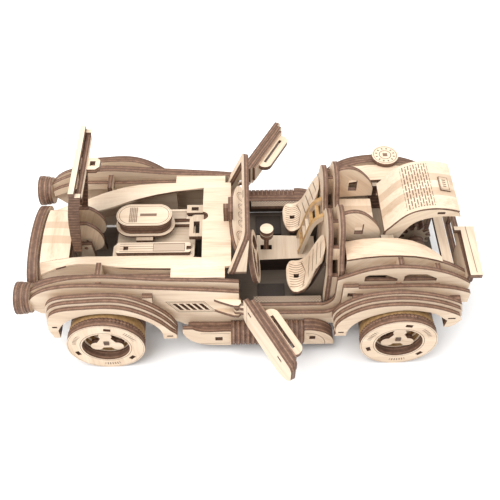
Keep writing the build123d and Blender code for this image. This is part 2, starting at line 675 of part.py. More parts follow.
def seat(y):
    """A bucket seat shell, bent from one ply, with a square slot in the cushion."""
    with BuildPart() as shell:
        with BuildSketch(side_plane(y + 20)):
            with BuildLine():
                Spline(*SEAT_FRONT)
                Spline(*SEAT_BACK)
                Polyline(SEAT_FRONT[0], SEAT_BACK[0])
                Polyline(SEAT_FRONT[-1], SEAT_BACK[-1])
            make_face()
        extrude(amount=40)
        with BuildSketch(level(30)):
            with BuildLine():
                Spline(*[(x, y - half) for x, half in SEAT_HALF])
                Spline(*[(x, y + half) for x, half in SEAT_HALF])
            make_face()
        extrude(amount=70, mode=Mode.INTERSECT)
        with BuildSketch(level(36)):
            with Locations((40.3, y)):
                Rectangle(4.4, 4)
        extrude(amount=12, mode=Mode.SUBTRACT)
    return shell.part


SEAT_SIDE = [run("line", (38, FLOOR_TOP), (61.7, FLOOR_TOP), (61.7, 74), (60.2, 74)),
             run("curve", (60.2, 74), (57.2, 65), (53.6, 53), (48.7, 42.6), (44.5, 39.2)),
             run("line", (44.5, 39.2), (38, 39.2), (38, FLOOR_TOP))]
for name, y in (("seat_left", -SEAT_Y), ("seat_right", SEAT_Y)):
    save(name, seat(y))
seat_sides = [ply(side_plane(side * SEAT_Y + offset), SEAT_SIDE)
              for side in (-1, 1) for offset in (14, -10)]
save("seat_frames", *seat_sides)

# ---------------------------------------------------------------- rear bulkhead and fairings
HUMP_Y = 24.0


def hoop_ply(x, top, shoulder_z):
    """One ply of the rear bulkhead, with a round hump behind each seat."""
    half = [(56.2, shoulder_z - 6), (50, shoulder_z), (45, top - 17), (38, top - 5), (HUMP_Y, top),
            (11, top - 5), (4, top - 16), (0, top - 19)]
    with BuildPart() as sheet:
        with BuildSketch(across(x)):
            with BuildLine():
                Spline(*half)
                Spline(*[(-y, z) for y, z in half])
                Polyline(half[0], (56.2, FLOOR_TOP), (-56.2, FLOOR_TOP), (-half[0][0], half[0][1]))
            make_face()
        extrude(amount=PLY)
    return sheet.part


hoop_blocks = []
for side in (-1, 1):
    for y0, y1, z0, z1 in ((51, 55, 34, 70), (40, 44, 78, 92), (22, 26, 84, 102), (6, 10, 30, 84)):
        hoop_blocks.append(box(66, 71, min(side * y0, side * y1), max(side * y0, side * y1), z0, z1))
save("rear_bulkhead", hoop_ply(62, 108, 80), hoop_ply(71, 112, 85), *hoop_blocks)

FAIRING = [run("line", (75, 80), (75, 111)),
           run("curve", (75, 111), (88.7, 111.5), (97.5, 104), (103.4, 95.4), (105.2, 90)),
           run("line", (105.2, 90), (105.2, 82), (75, 80))]
fairing = ply(side_plane(-HUMP_Y + 2), FAIRING, boxes=[(88, 94, 7, 12)])
save("fairings", fairing, mirrored(fairing))

rear_strip = lofted([(x, [(y_in, z), (REAR_FORMER_Y, z), (REAR_FORMER_Y, z + SKIN),
                          (y_in, z + SKIN)])
                     for x, z, y_in in REAR_STRIP], across)
center_deck = box(75, 104, -20, 20, 78, 80)
save("rear_deck", rear_strip, mirrored(rear_strip), center_deck)

lid_brackets = [ply(side_plane(-27), [run("line", (104, 60), (118, 60), (116, 88), (106, 88),
                                          (104, 60))], holes=[(*LID_PIN, PIN_R)])]
lid_brackets.append(mirrored(lid_brackets[0]))
lid_pin = disc((LID_PIN[0], 31, LID_PIN[1]), Plane.XZ, PIN_R, 62)
cross_beam = box(104, 118, -31, 31, 56, 60)
save("lid_hinge", *lid_brackets, lid_pin, cross_beam)

CAP_X, CAP_Y, CAP_R = 119.8, 58.0, 11.4
with BuildPart() as fuel_cap:
    with BuildSketch(level(90.6)):
        with Locations((CAP_X, CAP_Y)):
            Circle(CAP_R)
    extrude(amount=PLY)
    with BuildSketch(level(88)):
        with Locations((CAP_X - 1.3, 53.4)):
            Circle(2.0)
    extrude(amount=3)
save("fuel_cap", fuel_cap.part)

# ---------------------------------------------------------------- tail
TAIL_PANEL_X = 174.2
tail_panel = ply(across(TAIL_PANEL_X),
                 [run("line", (-56, 46), (56, 46), (56, 66), (-6, 66), (-8, 70.8), (-56, 70.8),
                      (-56, 46))],
                 boxes=[(0, 56, 34, 12)])
tail_rail = ply(level(71), [run("line", (175, -58.6), (184.6, -58.6), (187.6, -8), (171, -8),
                                (171, -12), (176, -12), (175, -58.6))])
inner_rail = box(160, 168, -46, 46, 58, 62)
tail_legs = [box(160, 164, side * 30 - 4, side * 30 + 4, FLOOR_TOP, 58) for side in (-1, 1)]
lights = [disc((TAIL_PANEL_X + PLY, side * 44, 57), Plane.YZ, 6.5, PLY) for side in (-1, 1)]
save("tail_panel", tail_panel, *lights)
save("tail_rails", tail_rail, inner_rail, *tail_legs)

# ---------------------------------------------------------------- side pipes
PIPE_Y, PIPE_Z, PIPE_R = 74.0, 20.8, 10.2
ELBOW = [run("curve", (-54, 35), (-52, 24), (-43, 14.5), (-30, 11.2), (-15, PIPE_Z - PIPE_R)),
         run("line", (-15, PIPE_Z - PIPE_R), (-15, PIPE_Z + PIPE_R)),
         run("curve", (-15, PIPE_Z + PIPE_R), (-30, 30.6), (-41, 32), (-46, 35)),
         run("line", (-46, 35), (-54, 35))]
ELBOW_CORE = [run("curve", (-50, 28), (-46, 20), (-40, 15.5), (-30, 12), (-15, 11.6)),
              run("line", (-15, 11.6), (-15, 28), (-26, 27.4), (-36, 28), (-50, 28))]
PIPE_END = [run("line", (45, PIPE_Z - PIPE_R), (70, PIPE_Z - PIPE_R)),
            run("curve", (70, PIPE_Z - PIPE_R), (68, 20), (59, 28.6), (45, PIPE_Z + PIPE_R)),
            run("line", (45, PIPE_Z + PIPE_R), (45, PIPE_Z - PIPE_R))]
BARREL_X0, BARREL_X1 = -15.0, 45.0
RIBS = 15


def barrel():
    """The ribbed barrel, a row of round plies threaded along the pipe."""
    pitch = (BARREL_X1 - BARREL_X0) / RIBS
    with BuildPart() as ribs:
        for i in range(RIBS):
            x = BARREL_X0 + i * pitch
            with BuildSketch(across(x)):
                with Locations((-PIPE_Y, PIPE_Z)):
                    Circle(PIPE_R)
            extrude(amount=pitch - 0.8)
        with BuildSketch(across(BARREL_X0)):
            with Locations((-PIPE_Y, PIPE_Z)):
                Circle(PIPE_R - 0.9)
        extrude(amount=BARREL_X1 - BARREL_X0)
        with BuildSketch(level(0)):
            with Locations((15, -PANEL_Y + 9.6)):
                Rectangle(80, 20, mode=Mode.ADD)
        extrude(amount=40, mode=Mode.SUBTRACT)
    return ribs.part


pipe_plies = []
for layer in range(3):
    y = -PIPE_Y + 6 - PLY * layer
    slot_box = [(-25, 20.5, 6, 5)] if layer == 2 else []
    end_box = [(52, 20.5, 5, 4.5)] if layer == 2 else []
    pipe_plies.append(ply(side_plane(y), ELBOW if layer == 2 else ELBOW_CORE, boxes=slot_box))
    pipe_plies.append(ply(side_plane(y), PIPE_END, boxes=end_box))
pegs = [box(x - 2.5, x + 2.5, -PIPE_Y + 6, -PANEL_Y, 24, 27) for x in (-44, 55)]
save("side_pipe_left", *pipe_plies, barrel(), *pegs)
save("side_pipe_right", *[mirrored(p) for p in pipe_plies], mirrored(barrel()),
     *[mirrored(p) for p in pegs])

# ---------------------------------------------------------------- boot lid, standing open
LID_TOP = [(110, 90.5), (117, 100.5), (125.7, 110.6), (136.5, 115.2), (148, 116.0), (163.4, 112.4)]
LID_LOW = [(166, 107.6), (153, 108.2), (142, 106.4), (131.6, 101.4), (126, 94), (121, 82.5)]
LID_HALF = 26.0
lid_frame = ply(side_plane(-LID_HALF + PLY),
                [run("curve", *LID_TOP), run("line", LID_TOP[-1], LID_LOW[0]),
                 run("curve", *LID_LOW), run("line", LID_LOW[-1], (109, 82), LID_TOP[0])],
                holes=[(*LID_PIN, PIN_R + RUNNING_FIT)], boxes=[(150, 112, 6, 2.4)])
save("lid_frames", lid_frame, mirrored(lid_frame))

with BuildPart() as lid_skin:
    with BuildSketch(side_plane(LID_HALF)):
        with BuildLine():
            Spline(*LID_TOP)
            Spline((108.6, 91.5), (115.8, 101.8), (125, 112.3), (136.2, 117.1), (148.2, 118),
                   (164.2, 114.2))
            Polyline(LID_TOP[0], (108.6, 91.5))
            Polyline(LID_TOP[-1], (164.2, 114.2))
        make_face()
    extrude(amount=2 * LID_HALF)
plaque_plane = Plane(origin=(155.5, 0, 117.1), x_dir=(0.97, 0, -0.243), z_dir=(0.243, 0, 0.97))
with BuildPart() as plaque:
    with BuildSketch(plaque_plane):
        RectangleRounded(9, 15, 1)
    extrude(amount=1.2)
save("lid_skin", lid_skin.part, plaque.part)

# ---------------------------------------------------------------- doors, standing open
SWING = radians(DOOR_OPEN)
door_plane = Plane(origin=(DOOR_PIN[0], DOOR_PIN[1], 0), x_dir=(cos(SWING), -sin(SWING), 0),
                   z_dir=(-sin(SWING), -cos(SWING), 0))
DOOR_FACE = -3.0       # the door's outer face, measured outwards from its hinge axis
DOOR_SKIN = [run("line", (5.5, 66), (75, 66), (77.5, 63.5), (77.5, 53)),
             run("curve", (77.5, 53), (73, 44.5), (64, 39.2), (52, 37.4)),
             run("line", (52, 37.4), (13, 37.4)),
             run("curve", (13, 37.4), (8, 38.6), (5.5, 43)),
             run("line", (5.5, 43), (5.5, 66))]
DOOR_CORE = [run("line", (8, 65), (72, 65), (73, 63), (73, 56)),
             run("curve", (73, 56), (69, 47.5), (60, 43.4)),
             run("line", (60, 43.4), (12, 43.4), (8, 48), (8, 65))]
ARM_Z = (45.2, 51.8)       # lower faces of the door's two knuckles
ARM_H = 3.2


def door_ply(runs, depth, thickness=PLY, boxes=()):
    """A ply parallel to the door, its outer face depth mm inside the door's face."""
    return ply(door_plane.offset(DOOR_FACE - depth - thickness), runs, thickness, boxes=boxes)


def knuckle(z):
    """A hinge arm in plan: a ring round the pin and a web to the door's front edge."""
    with BuildPart() as arm:
        with BuildSketch(Plane(origin=(DOOR_PIN[0], DOOR_PIN[1], z), x_dir=door_plane.x_dir,
                               z_dir=(0, 0, 1))):
            Circle(2.65)
            with BuildLine():
                Polyline((0, 2.6), (2.6, 2.6), (5.5, 7), (5.5, 3), (0.6, -2.5), close=True)
            make_face()
            Circle(PIN_R + RUNNING_FIT, mode=Mode.SUBTRACT)
        extrude(amount=ARM_H)
    return arm.part


door_skin = door_ply(DOOR_SKIN, 0.0, boxes=[(15, 57.5, 5.2, 2.6), (61, 58.5, 5.6, 2.6)])
door_core = door_ply(DOOR_CORE, PLY)
door_lining = door_ply([run("line", (12, 64), (68, 64), (68, 57), (62, 48), (12, 48), (12, 64))],
                       2 * PLY, 2.6)
LINING_FACE = DOOR_FACE - 2 * PLY - 2.6
with BuildPart() as armrest:
    with BuildSketch(Plane(origin=(DOOR_PIN[0], DOOR_PIN[1], 57), x_dir=door_plane.x_dir,
                           z_dir=(0, 0, 1))):
        with Locations((42.5, -LINING_FACE + 3)):
            SlotOverall(46, 13)
            Rectangle(33, 2.6, mode=Mode.SUBTRACT)
        with Locations((42.5, -LINING_FACE - 8)):
            Rectangle(60, 16, mode=Mode.SUBTRACT)
    extrude(amount=PLY)
knuckles = [knuckle(z) for z in ARM_Z]
for side, flip in (("left", lambda part: part), ("right", mirrored)):
    save(f"door_skin_{side}", flip(door_skin), *[flip(p) for p in knuckles])
    save(f"door_liner_{side}", flip(door_core), flip(door_lining), flip(armrest.part))

BRACKET = [run("curve", (-28, -PANEL_Y), (-20, -70.4), (-12, -73.2)),
           run("line", (-12, -73.2), (-8.5, -73.4), (-6.4, -71), (-6.8, -68), (-9.4, -PANEL_Y),
               (-28, -PANEL_Y))]
hinges = []
for z in (41.6, 55.4):
    hinges.append(ply(level(z), BRACKET, thickness=3.2, holes=[(*DOOR_PIN, PIN_R)]))
hinges.append(disc((*DOOR_PIN, 41.6), Plane.XY, PIN_R, 17))
save("door_hinges", *hinges, *[mirrored(p) for p in hinges])

# ---------------------------------------------------------------- axles and wheels
def axle(x):
    """An axle rod: round where it turns in the rails, square inside the wheels."""
    with BuildPart() as rod:
        with BuildSketch(Plane.XZ):
            with Locations((x, AXLE_Z)):
                Circle(AXLE_R)
        extrude(amount=67, both=True)
        with BuildSketch(Plane.XZ):
            with Locations((x, AXLE_Z)):
                Rectangle(AXLE_SQUARE, AXLE_SQUARE)
        extrude(amount=90, both=True)
    return rod.part


TEETH = 64
NOTCH = 0.9


def knurled(radius):
    """Outline points of a finely toothed rim."""
    points = []
    for i in range(2 * TEETH):
        r = radius if i % 2 else radius - NOTCH
        angle = pi * i / TEETH
        points.append((r * cos(angle), r * sin(angle)))
    return points


def wheel(x, side):
    """A wheel's plies, from the outer face inwards."""
    plies = []
    layers = (("face", WHEEL_R, 19.0), ("tread", WHEEL_R, 19.0), ("ring", WHEEL_R - 0.6, 17.5),
              ("ring", WHEEL_R - 1.0, 15.5), ("web", WHEEL_R - 1.0, 0.0), ("ring", WHEEL_R - 1.0, 14.0))
    for i, (kind, radius, hole) in enumerate(layers):
        outer_y = WHEEL_FACE - i * PLY
        plane = Plane(origin=(x, side * outer_y, AXLE_Z), x_dir=(side, 0, 0), z_dir=(0, -side, 0))
        with BuildPart() as layer:
            with BuildSketch(plane):
                if kind == "tread":
                    with BuildLine():
                        Polyline(*knurled(radius), close=True)
                    make_face()
                else:
                    Circle(radius)
                if hole:
                    Circle(hole, mode=Mode.SUBTRACT)
                if kind == "face":
                    with PolarLocations(25, 3, start_angle=100):
                        Rectangle(3.4, 5.6, mode=Mode.SUBTRACT)
                if kind == "web":
                    with PolarLocations(17, 3, start_angle=30):
                        Circle(8.5, mode=Mode.SUBTRACT)
                    Rectangle(AXLE_SQUARE, AXLE_SQUARE, mode=Mode.SUBTRACT)
            extrude(amount=PLY)
        plies.append(layer.part)
    return plies


def hub(x, side):
    """The three-lobed hub star and the spacers behind it."""
    star_y = WHEEL_FACE - PLY
    plane = Plane(origin=(x, side * star_y, AXLE_Z), x_dir=(side, 0, 0), z_dir=(0, -side, 0))
    with BuildPart() as star:
        with BuildSketch(plane):
            with PolarLocations(9.4, 3, start_angle=90):
                Circle(5.2)
            RegularPolygon(radius=13.5, side_count=3, rotation=90)
            Rectangle(AXLE_SQUARE, AXLE_SQUARE, mode=Mode.SUBTRACT)
        extrude(amount=PLY)
    with BuildPart() as spacer:
        with BuildSketch(plane.offset(PLY)):
            Circle(6)
            Rectangle(AXLE_SQUARE, AXLE_SQUARE, mode=Mode.SUBTRACT)
        extrude(amount=2 * PLY)
    return [star.part, spacer.part]


def gear(x, z, teeth, width, bore, phase):
    """A spur gear with narrow teeth, so that a pair runs free."""
    pitch_r = GEAR_MODULE * teeth / 2
    root_r, tip_r = pitch_r - 1.25 * GEAR_MODULE, pitch_r + 0.8 * GEAR_MODULE
    points = []
    for i in range(teeth):
        centre = 2 * pi * i / teeth + phase
        for r, half in ((root_r, 0.24), (pitch_r, 0.18), (tip_r, 0.09)):
            points.append((r, centre - half * 2 * pi / teeth))
        for r, half in ((tip_r, 0.09), (pitch_r, 0.18), (root_r, 0.24)):
            points.append((r, centre + half * 2 * pi / teeth))
    with BuildPart() as body:
        with BuildSketch(Plane(origin=(x, width / 2, z), x_dir=(1, 0, 0), z_dir=(0, -1, 0))):
            with BuildLine():
                Polyline(*[(r * cos(a), r * sin(a)) for r, a in points], close=True)
            make_face()
            Circle(bore, mode=Mode.SUBTRACT)
        extrude(amount=width)
    return body.part


for name, x in (("front", FRONT_AXLE_X), ("rear", REAR_AXLE_X)):
    save(f"{name}_axle", axle(x))
    save(f"wheel_{name}_left", *wheel(x, -1))
    save(f"wheel_{name}_right", *wheel(x, 1))
    save(f"{name}_hubs", *hub(x, -1), *hub(x, 1))

LINE = atan2(DRUM_Z - AXLE_Z, DRUM_X - REAR_AXLE_X)
save("drive_gear", gear(REAR_AXLE_X, AXLE_Z, DRIVE_TEETH, 8, AXLE_R, LINE))
pinion = gear(DRUM_X, DRUM_Z, PINION_TEETH, 8, DRUM_SHAFT_R, LINE + pi + pi / PINION_TEETH)
drum = disc((DRUM_X, -8, DRUM_Z), Plane.XZ, 7, 18, DRUM_SHAFT_R)
flange = disc((DRUM_X, -26, DRUM_Z), Plane.XZ, 10, 3, DRUM_SHAFT_R)
drum_shaft = disc((DRUM_X, 52, DRUM_Z), Plane.XZ, DRUM_SHAFT_R, 104)
save("motor_drum", pinion, drum, flange, drum_shaft)

# ---------------------------------------------------------------- steering and gear lever
with BuildPart() as steering:
    with BuildSketch(steer_plane):
        Circle(22)
        Circle(17.6, mode=Mode.SUBTRACT)
        Circle(6)
        with PolarLocations(11.5, 3, start_angle=90):
            Rectangle(14, 4)
    extrude(amount=PLY)
    with BuildSketch(steer_plane):
        Circle(COLUMN_R)
    extrude(amount=-42)
save("steering_wheel", steering.part)

stem = box(LEVER_X - 2, LEVER_X + 2, -2, 2, LEVER_Z - 4, 57)
with BuildPart() as knob:
    for z, radius in ((57, 5.6), (61, 4.6), (62, 5.6)):
        with Locations((LEVER_X, 0, z)):
            Cylinder(radius, PLY if radius > 5 else 1, align=(Align.CENTER, Align.CENTER, Align.MIN))
with BuildPart() as lever:
    add(stem)
    with Locations(Location((LEVER_X, 0, LEVER_Z), (90, 0, 0))):
        Cylinder(PIN_R + RUNNING_FIT, 10, mode=Mode.SUBTRACT)
save("gear_lever", lever.part, knob.part)
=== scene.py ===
"""Looks of the plywood roadster kit: plies with pale birch faces and laser-charred edges."""

import json
import math

import bmesh
import bpy
import numpy as np
from mathutils import Matrix, Vector
from mathutils.bvhtree import BVHTree


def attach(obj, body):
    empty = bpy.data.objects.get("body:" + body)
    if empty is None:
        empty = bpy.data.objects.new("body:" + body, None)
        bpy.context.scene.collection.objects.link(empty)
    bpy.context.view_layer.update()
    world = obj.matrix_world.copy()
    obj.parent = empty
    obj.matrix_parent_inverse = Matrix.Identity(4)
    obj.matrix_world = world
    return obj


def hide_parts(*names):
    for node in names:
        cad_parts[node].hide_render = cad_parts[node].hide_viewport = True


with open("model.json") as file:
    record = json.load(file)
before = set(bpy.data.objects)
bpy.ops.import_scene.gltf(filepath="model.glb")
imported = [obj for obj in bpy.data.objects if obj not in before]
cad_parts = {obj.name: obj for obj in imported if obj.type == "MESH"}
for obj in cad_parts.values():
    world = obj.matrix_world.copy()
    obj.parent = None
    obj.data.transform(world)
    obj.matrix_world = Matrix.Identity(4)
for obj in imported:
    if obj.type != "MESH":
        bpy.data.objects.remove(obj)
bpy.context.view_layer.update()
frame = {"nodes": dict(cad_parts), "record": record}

MM = 0.001
PLY = 4 * MM                     # thickness of a ply
BENT_LIMIT = 4.6 * MM            # a bent ply is thinner than this through its faces
BODIES = frame["record"]["behaviour"]["bodies"]
BODY_OF = {node: body for body, nodes in BODIES.items() for node in nodes}

# ---------------------------------------------------------------- colours (linear)
BIRCH_LIGHT = (0.80, 0.67, 0.52)
BIRCH_MID = (0.71, 0.56, 0.415)
BIRCH_DARK = (0.53, 0.38, 0.26)
CHAR_DARK = (0.050, 0.024, 0.016)
CHAR_MID = (0.120, 0.060, 0.038)
CHAR_PALE = (0.330, 0.195, 0.128)
ENGRAVED = (0.120, 0.062, 0.038)
STRIPE = (0.47, 0.335, 0.225)
OCHRE_LIGHT = (0.58, 0.36, 0.15)
OCHRE_DARK = (0.33, 0.18, 0.065)
PAINTED_SHADE = (0.022, 0.014, 0.011)     # painted shade: near-black laid where the cockpit and the underside of the floor lie in shadow


# ---------------------------------------------------------------- shader helpers
class Wood:
    """A material whose colours follow the plies' own attributes."""

    def __init__(self, name):
        self.mat = bpy.data.materials.new(name)
        self.mat.use_nodes = True
        self.nodes = self.mat.node_tree.nodes
        self.links = self.mat.node_tree.links
        self.nodes.clear()
        self.out = self.nodes.new("ShaderNodeOutputMaterial")
        self.bsdf = self.nodes.new("ShaderNodeBsdfPrincipled")
        self.links.new(self.bsdf.outputs["BSDF"], self.out.inputs["Surface"])
        self.position = self.split(self.nodes.new("ShaderNodeTexCoord").outputs["Object"])

    def link(self, value, socket):
        """Sets a socket from another socket or from a plain value."""
        if isinstance(value, bpy.types.NodeSocket):
            self.links.new(value, socket)
        else:
            socket.default_value = value

    def math(self, kind, a, b=0.0, clamp=False):
        node = self.nodes.new("ShaderNodeMath")
        node.operation = kind
        node.use_clamp = clamp
        self.link(a, node.inputs[0])
        self.link(b, node.inputs[1])
        return node.outputs[0]

    def split(self, vector):
        node = self.nodes.new("ShaderNodeSeparateXYZ")
        self.link(vector, node.inputs[0])
        return node.outputs

    def attribute(self, name, output):
        node = self.nodes.new("ShaderNodeAttribute")
        node.attribute_name = name
        return node.outputs[output]

    def scaled(self, vector, scale):
        node = self.nodes.new("ShaderNodeMapping")
        self.link(vector, node.inputs["Vector"])
        node.inputs["Scale"].default_value = scale
        return node.outputs[0]

    def noise(self, vector, scale, detail=3.0, rough=0.55, warp=0.0):
        node = self.nodes.new("ShaderNodeTexNoise")
        self.link(vector, node.inputs["Vector"])
        node.inputs["Scale"].default_value = scale
        node.inputs["Detail"].default_value = detail
        node.inputs["Roughness"].default_value = rough
        node.inputs["Distortion"].default_value = warp
        return node.outputs["Fac"]

    def ramp(self, factor, *stops):
        node = self.nodes.new("ShaderNodeValToRGB")
        elements = node.color_ramp.elements
        for extra in stops[2:]:
            elements.new(extra[0])
        for element, (position, colour) in zip(elements, sorted(stops)):
            element.position = position
            element.color = (*colour, 1.0)
        self.link(factor, node.inputs[0])
        return node.outputs[0]

    def mix(self, factor, a, b, kind="MIX"):
        node = self.nodes.new("ShaderNodeMix")
        node.data_type = "RGBA"
        node.blend_type = kind
        self.link(factor, node.inputs[0])
        for value, socket in ((a, node.inputs[6]), (b, node.inputs[7])):
            self.link(value if isinstance(value, bpy.types.NodeSocket) else (*value, 1.0), socket)
        return node.outputs[2]

    def smooth(self, value, low, high):
        """0 below low and 1 above high, with a soft step between."""
        node = self.nodes.new("ShaderNodeMapRange")
        node.interpolation_type = "SMOOTHSTEP"
        self.link(value, node.inputs["Value"])
        node.inputs["From Min"].default_value = low
        node.inputs["From Max"].default_value = high
        return node.outputs["Result"]

    # masks: 1 inside the mark, 0 outside
    def band(self, coordinate, centre, half, soft=0.12 * MM):
        distance = self.math("ABSOLUTE", self.math("SUBTRACT", coordinate, centre))
        return self.smooth(distance, half + soft, half - soft)

    def all_of(self, *masks):
        result = masks[0]
        for mask in masks[1:]:
            result = self.math("MULTIPLY", result, mask)
        return result

    def any_of(self, *masks):
        result = masks[0]
        for mask in masks[1:]:
            result = self.math("MAXIMUM", result, mask)
        return result

    def radius(self, a, b, centre):
        da = self.math("SUBTRACT", a, centre[0])
        db = self.math("SUBTRACT", b, centre[1])
        return self.math("SQRT", self.math("ADD", self.math("MULTIPLY", da, da),
                                           self.math("MULTIPLY", db, db)))

    def angle(self, a, b, centre):
        return self.math("ARCTAN2", self.math("SUBTRACT", b, centre[1]),
                         self.math("SUBTRACT", a, centre[0]))

    def repeat(self, coordinate, pitch, share, phase=0.0):
        """Stripes: 1 for the given share of each pitch."""
        moved = self.math("ADD", coordinate, phase)
        part = self.math("FRACT", self.math("DIVIDE", moved, pitch))
        return self.smooth(self.math("ABSOLUTE", self.math("SUBTRACT", part, 0.5)),
                           share / 2 + 0.03, share / 2 - 0.03)

    def frame_line(self, a, b, centre, half_a, half_b, width):
        """The outline of a rectangle."""
        da = self.math("ABSOLUTE", self.math("SUBTRACT", a, centre[0]))
        db = self.math("ABSOLUTE", self.math("SUBTRACT", b, centre[1]))
        inside = self.math("MAXIMUM", self.math("SUBTRACT", da, half_a),
                           self.math("SUBTRACT", db, half_b))
        return self.band(inside, 0.0, width / 2)


def plywood(name, engrave=None, tint=1.0, stripe=None, edge_tint=1.0, ochre=False, gold=None,
            shade_mask=None):
    """Birch plywood. engrave, stripe, gold and the shade mask are functions from the material to a
    mask; the shade mask says where painted shade darkens the colour.
    """
    w = Wood(name)
    along = w.attribute("ply_co", "Vector")
    across = w.split(along)
    tone = w.attribute("ply_tone", "Fac")
    edge = w.attribute("ply_edge", "Fac")
    depth = w.attribute("ply_depth", "Fac")

    broad = w.noise(w.scaled(along, (9, 95, 95)), 1.0, 4.0, 0.6, 0.35)
    streak = w.noise(w.scaled(along, (34, 700, 700)), 1.0, 3.0, 0.65, 0.1)
    pores = w.noise(w.scaled(along, (120, 2600, 2600)), 1.0, 2.0, 0.7)
    grain = w.math("ADD", w.math("MULTIPLY", broad, 0.62), w.math("MULTIPLY", streak, 0.38))
    shades = ((0.30, BIRCH_DARK), (0.47, BIRCH_MID), (0.66, BIRCH_LIGHT))
    if ochre:
        shades = ((0.30, OCHRE_DARK), (0.62, OCHRE_LIGHT))
    face = w.ramp(grain, *[(p, tuple(v * tint for v in c)) for p, c in shades])
    pore_marks = w.smooth(pores, 0.66, 0.76)
    face = w.mix(w.math("MULTIPLY", pore_marks, 0.28), face, BIRCH_DARK)
    face = w.mix(w.math("MULTIPLY", tone, 0.16), face, BIRCH_DARK, "MULTIPLY")
    scorch = w.noise(w.scaled(along, (260, 260, 260)), 1.0, 3.0)

    # three veneers through the thickness: the outer two are charred darker than the middle one
    veneer = w.math("FRACT", depth)
    middle = w.band(veneer, 0.5, 0.15, 0.10)
    lines = w.any_of(w.band(veneer, 0.32, 0.025, 0.03), w.band(veneer, 0.68, 0.025, 0.03),
                     w.smooth(w.math("ABSOLUTE", w.math("SUBTRACT", veneer, 0.5)), 0.44, 0.49))
    flecks = w.noise(w.scaled(along, (1500, 500, 900)), 1.0, 2.0)
    burnt = w.ramp(w.math("ADD", w.math("MULTIPLY", scorch, 0.6), w.math("MULTIPLY", flecks, 0.4)),
                   (0.28, tuple(v * edge_tint for v in CHAR_MID)),
                   (0.70, tuple(v * edge_tint for v in CHAR_PALE)))
    rim = w.math("SUBTRACT", 1.0, middle)
    burnt = w.mix(w.math("MULTIPLY", rim, 0.52), burnt, CHAR_DARK)
    burnt = w.mix(w.math("MULTIPLY", lines, 0.75), burnt, CHAR_DARK)
    if ochre:
        burnt = w.mix(0.85, burnt, w.ramp(scorch, (0.25, OCHRE_DARK), (0.7, OCHRE_LIGHT)))
    if gold:
        golden = w.ramp(scorch, (0.25, OCHRE_DARK), (0.7, OCHRE_LIGHT))
        burnt = w.mix(w.math("MULTIPLY", gold(w), 0.8), burnt, golden)

    height = w.math("ADD", w.math("MULTIPLY", grain, 0.6), w.math("MULTIPLY", pores, 0.4))
    if stripe:
        face = w.mix(w.math("MULTIPLY", stripe(w), 0.62), face, STRIPE)
    if engrave:
        mark = engrave(w)
        face = w.mix(w.math("MULTIPLY", mark, 0.88), face, ENGRAVED)
        height = w.math("SUBTRACT", height, w.math("MULTIPLY", mark, 2.2))
    colour = w.mix(edge, face, burnt)
    # painted shade: the colour is pulled towards near-black where the shade mask is set
    if shade_mask:
        colour = w.mix(w.math("MULTIPLY", shade_mask(w), 0.93), colour, PAINTED_SHADE)
    w.link(colour, w.bsdf.inputs["Base Color"])
    gloss = w.math("ADD", w.math("MULTIPLY", grain, 0.18), 0.50)
    w.link(gloss, w.bsdf.inputs["Roughness"])
    w.bsdf.inputs["Specular IOR Level"].default_value = 0.32
    bump = w.nodes.new("ShaderNodeBump")
    bump.inputs["Strength"].default_value = 0.35
    bump.inputs["Distance"].default_value = 0.00010
    w.link(height, bump.inputs["Height"])
    w.links.new(bump.outputs["Normal"], w.bsdf.inputs["Normal"])
    return w.mat


# ---------------------------------------------------------------- plies
def islands(mesh):
    """The number of the loose solid that each vertex belongs to."""
    parent = list(range(len(mesh.vertices)))

    def root(i):
        while parent[i] != i:
            parent[i] = parent[parent[i]]
            i = parent[i]
        return i

    for edge in mesh.edges:
        a, b = root(edge.vertices[0]), root(edge.vertices[1])
        if a != b:
            parent[max(a, b)] = min(a, b)
    return np.array([root(i) for i in range(len(parent))])


def main_axis(normals, areas):
    """The direction that most of a solid's surface faces."""
    keys = {}
    for normal, area in zip(normals, areas):
        n = normal if tuple(np.round(normal, 2)) >= (0, 0, 0) else -normal
        key = tuple(np.round(n, 1) + 0.0)
        total, direction = keys.get(key, (0.0, np.zeros(3)))
        keys[key] = (total + area, direction + n * area)
    best = max(keys.values(), key=lambda item: item[0])[1]
    return best / np.linalg.norm(best)


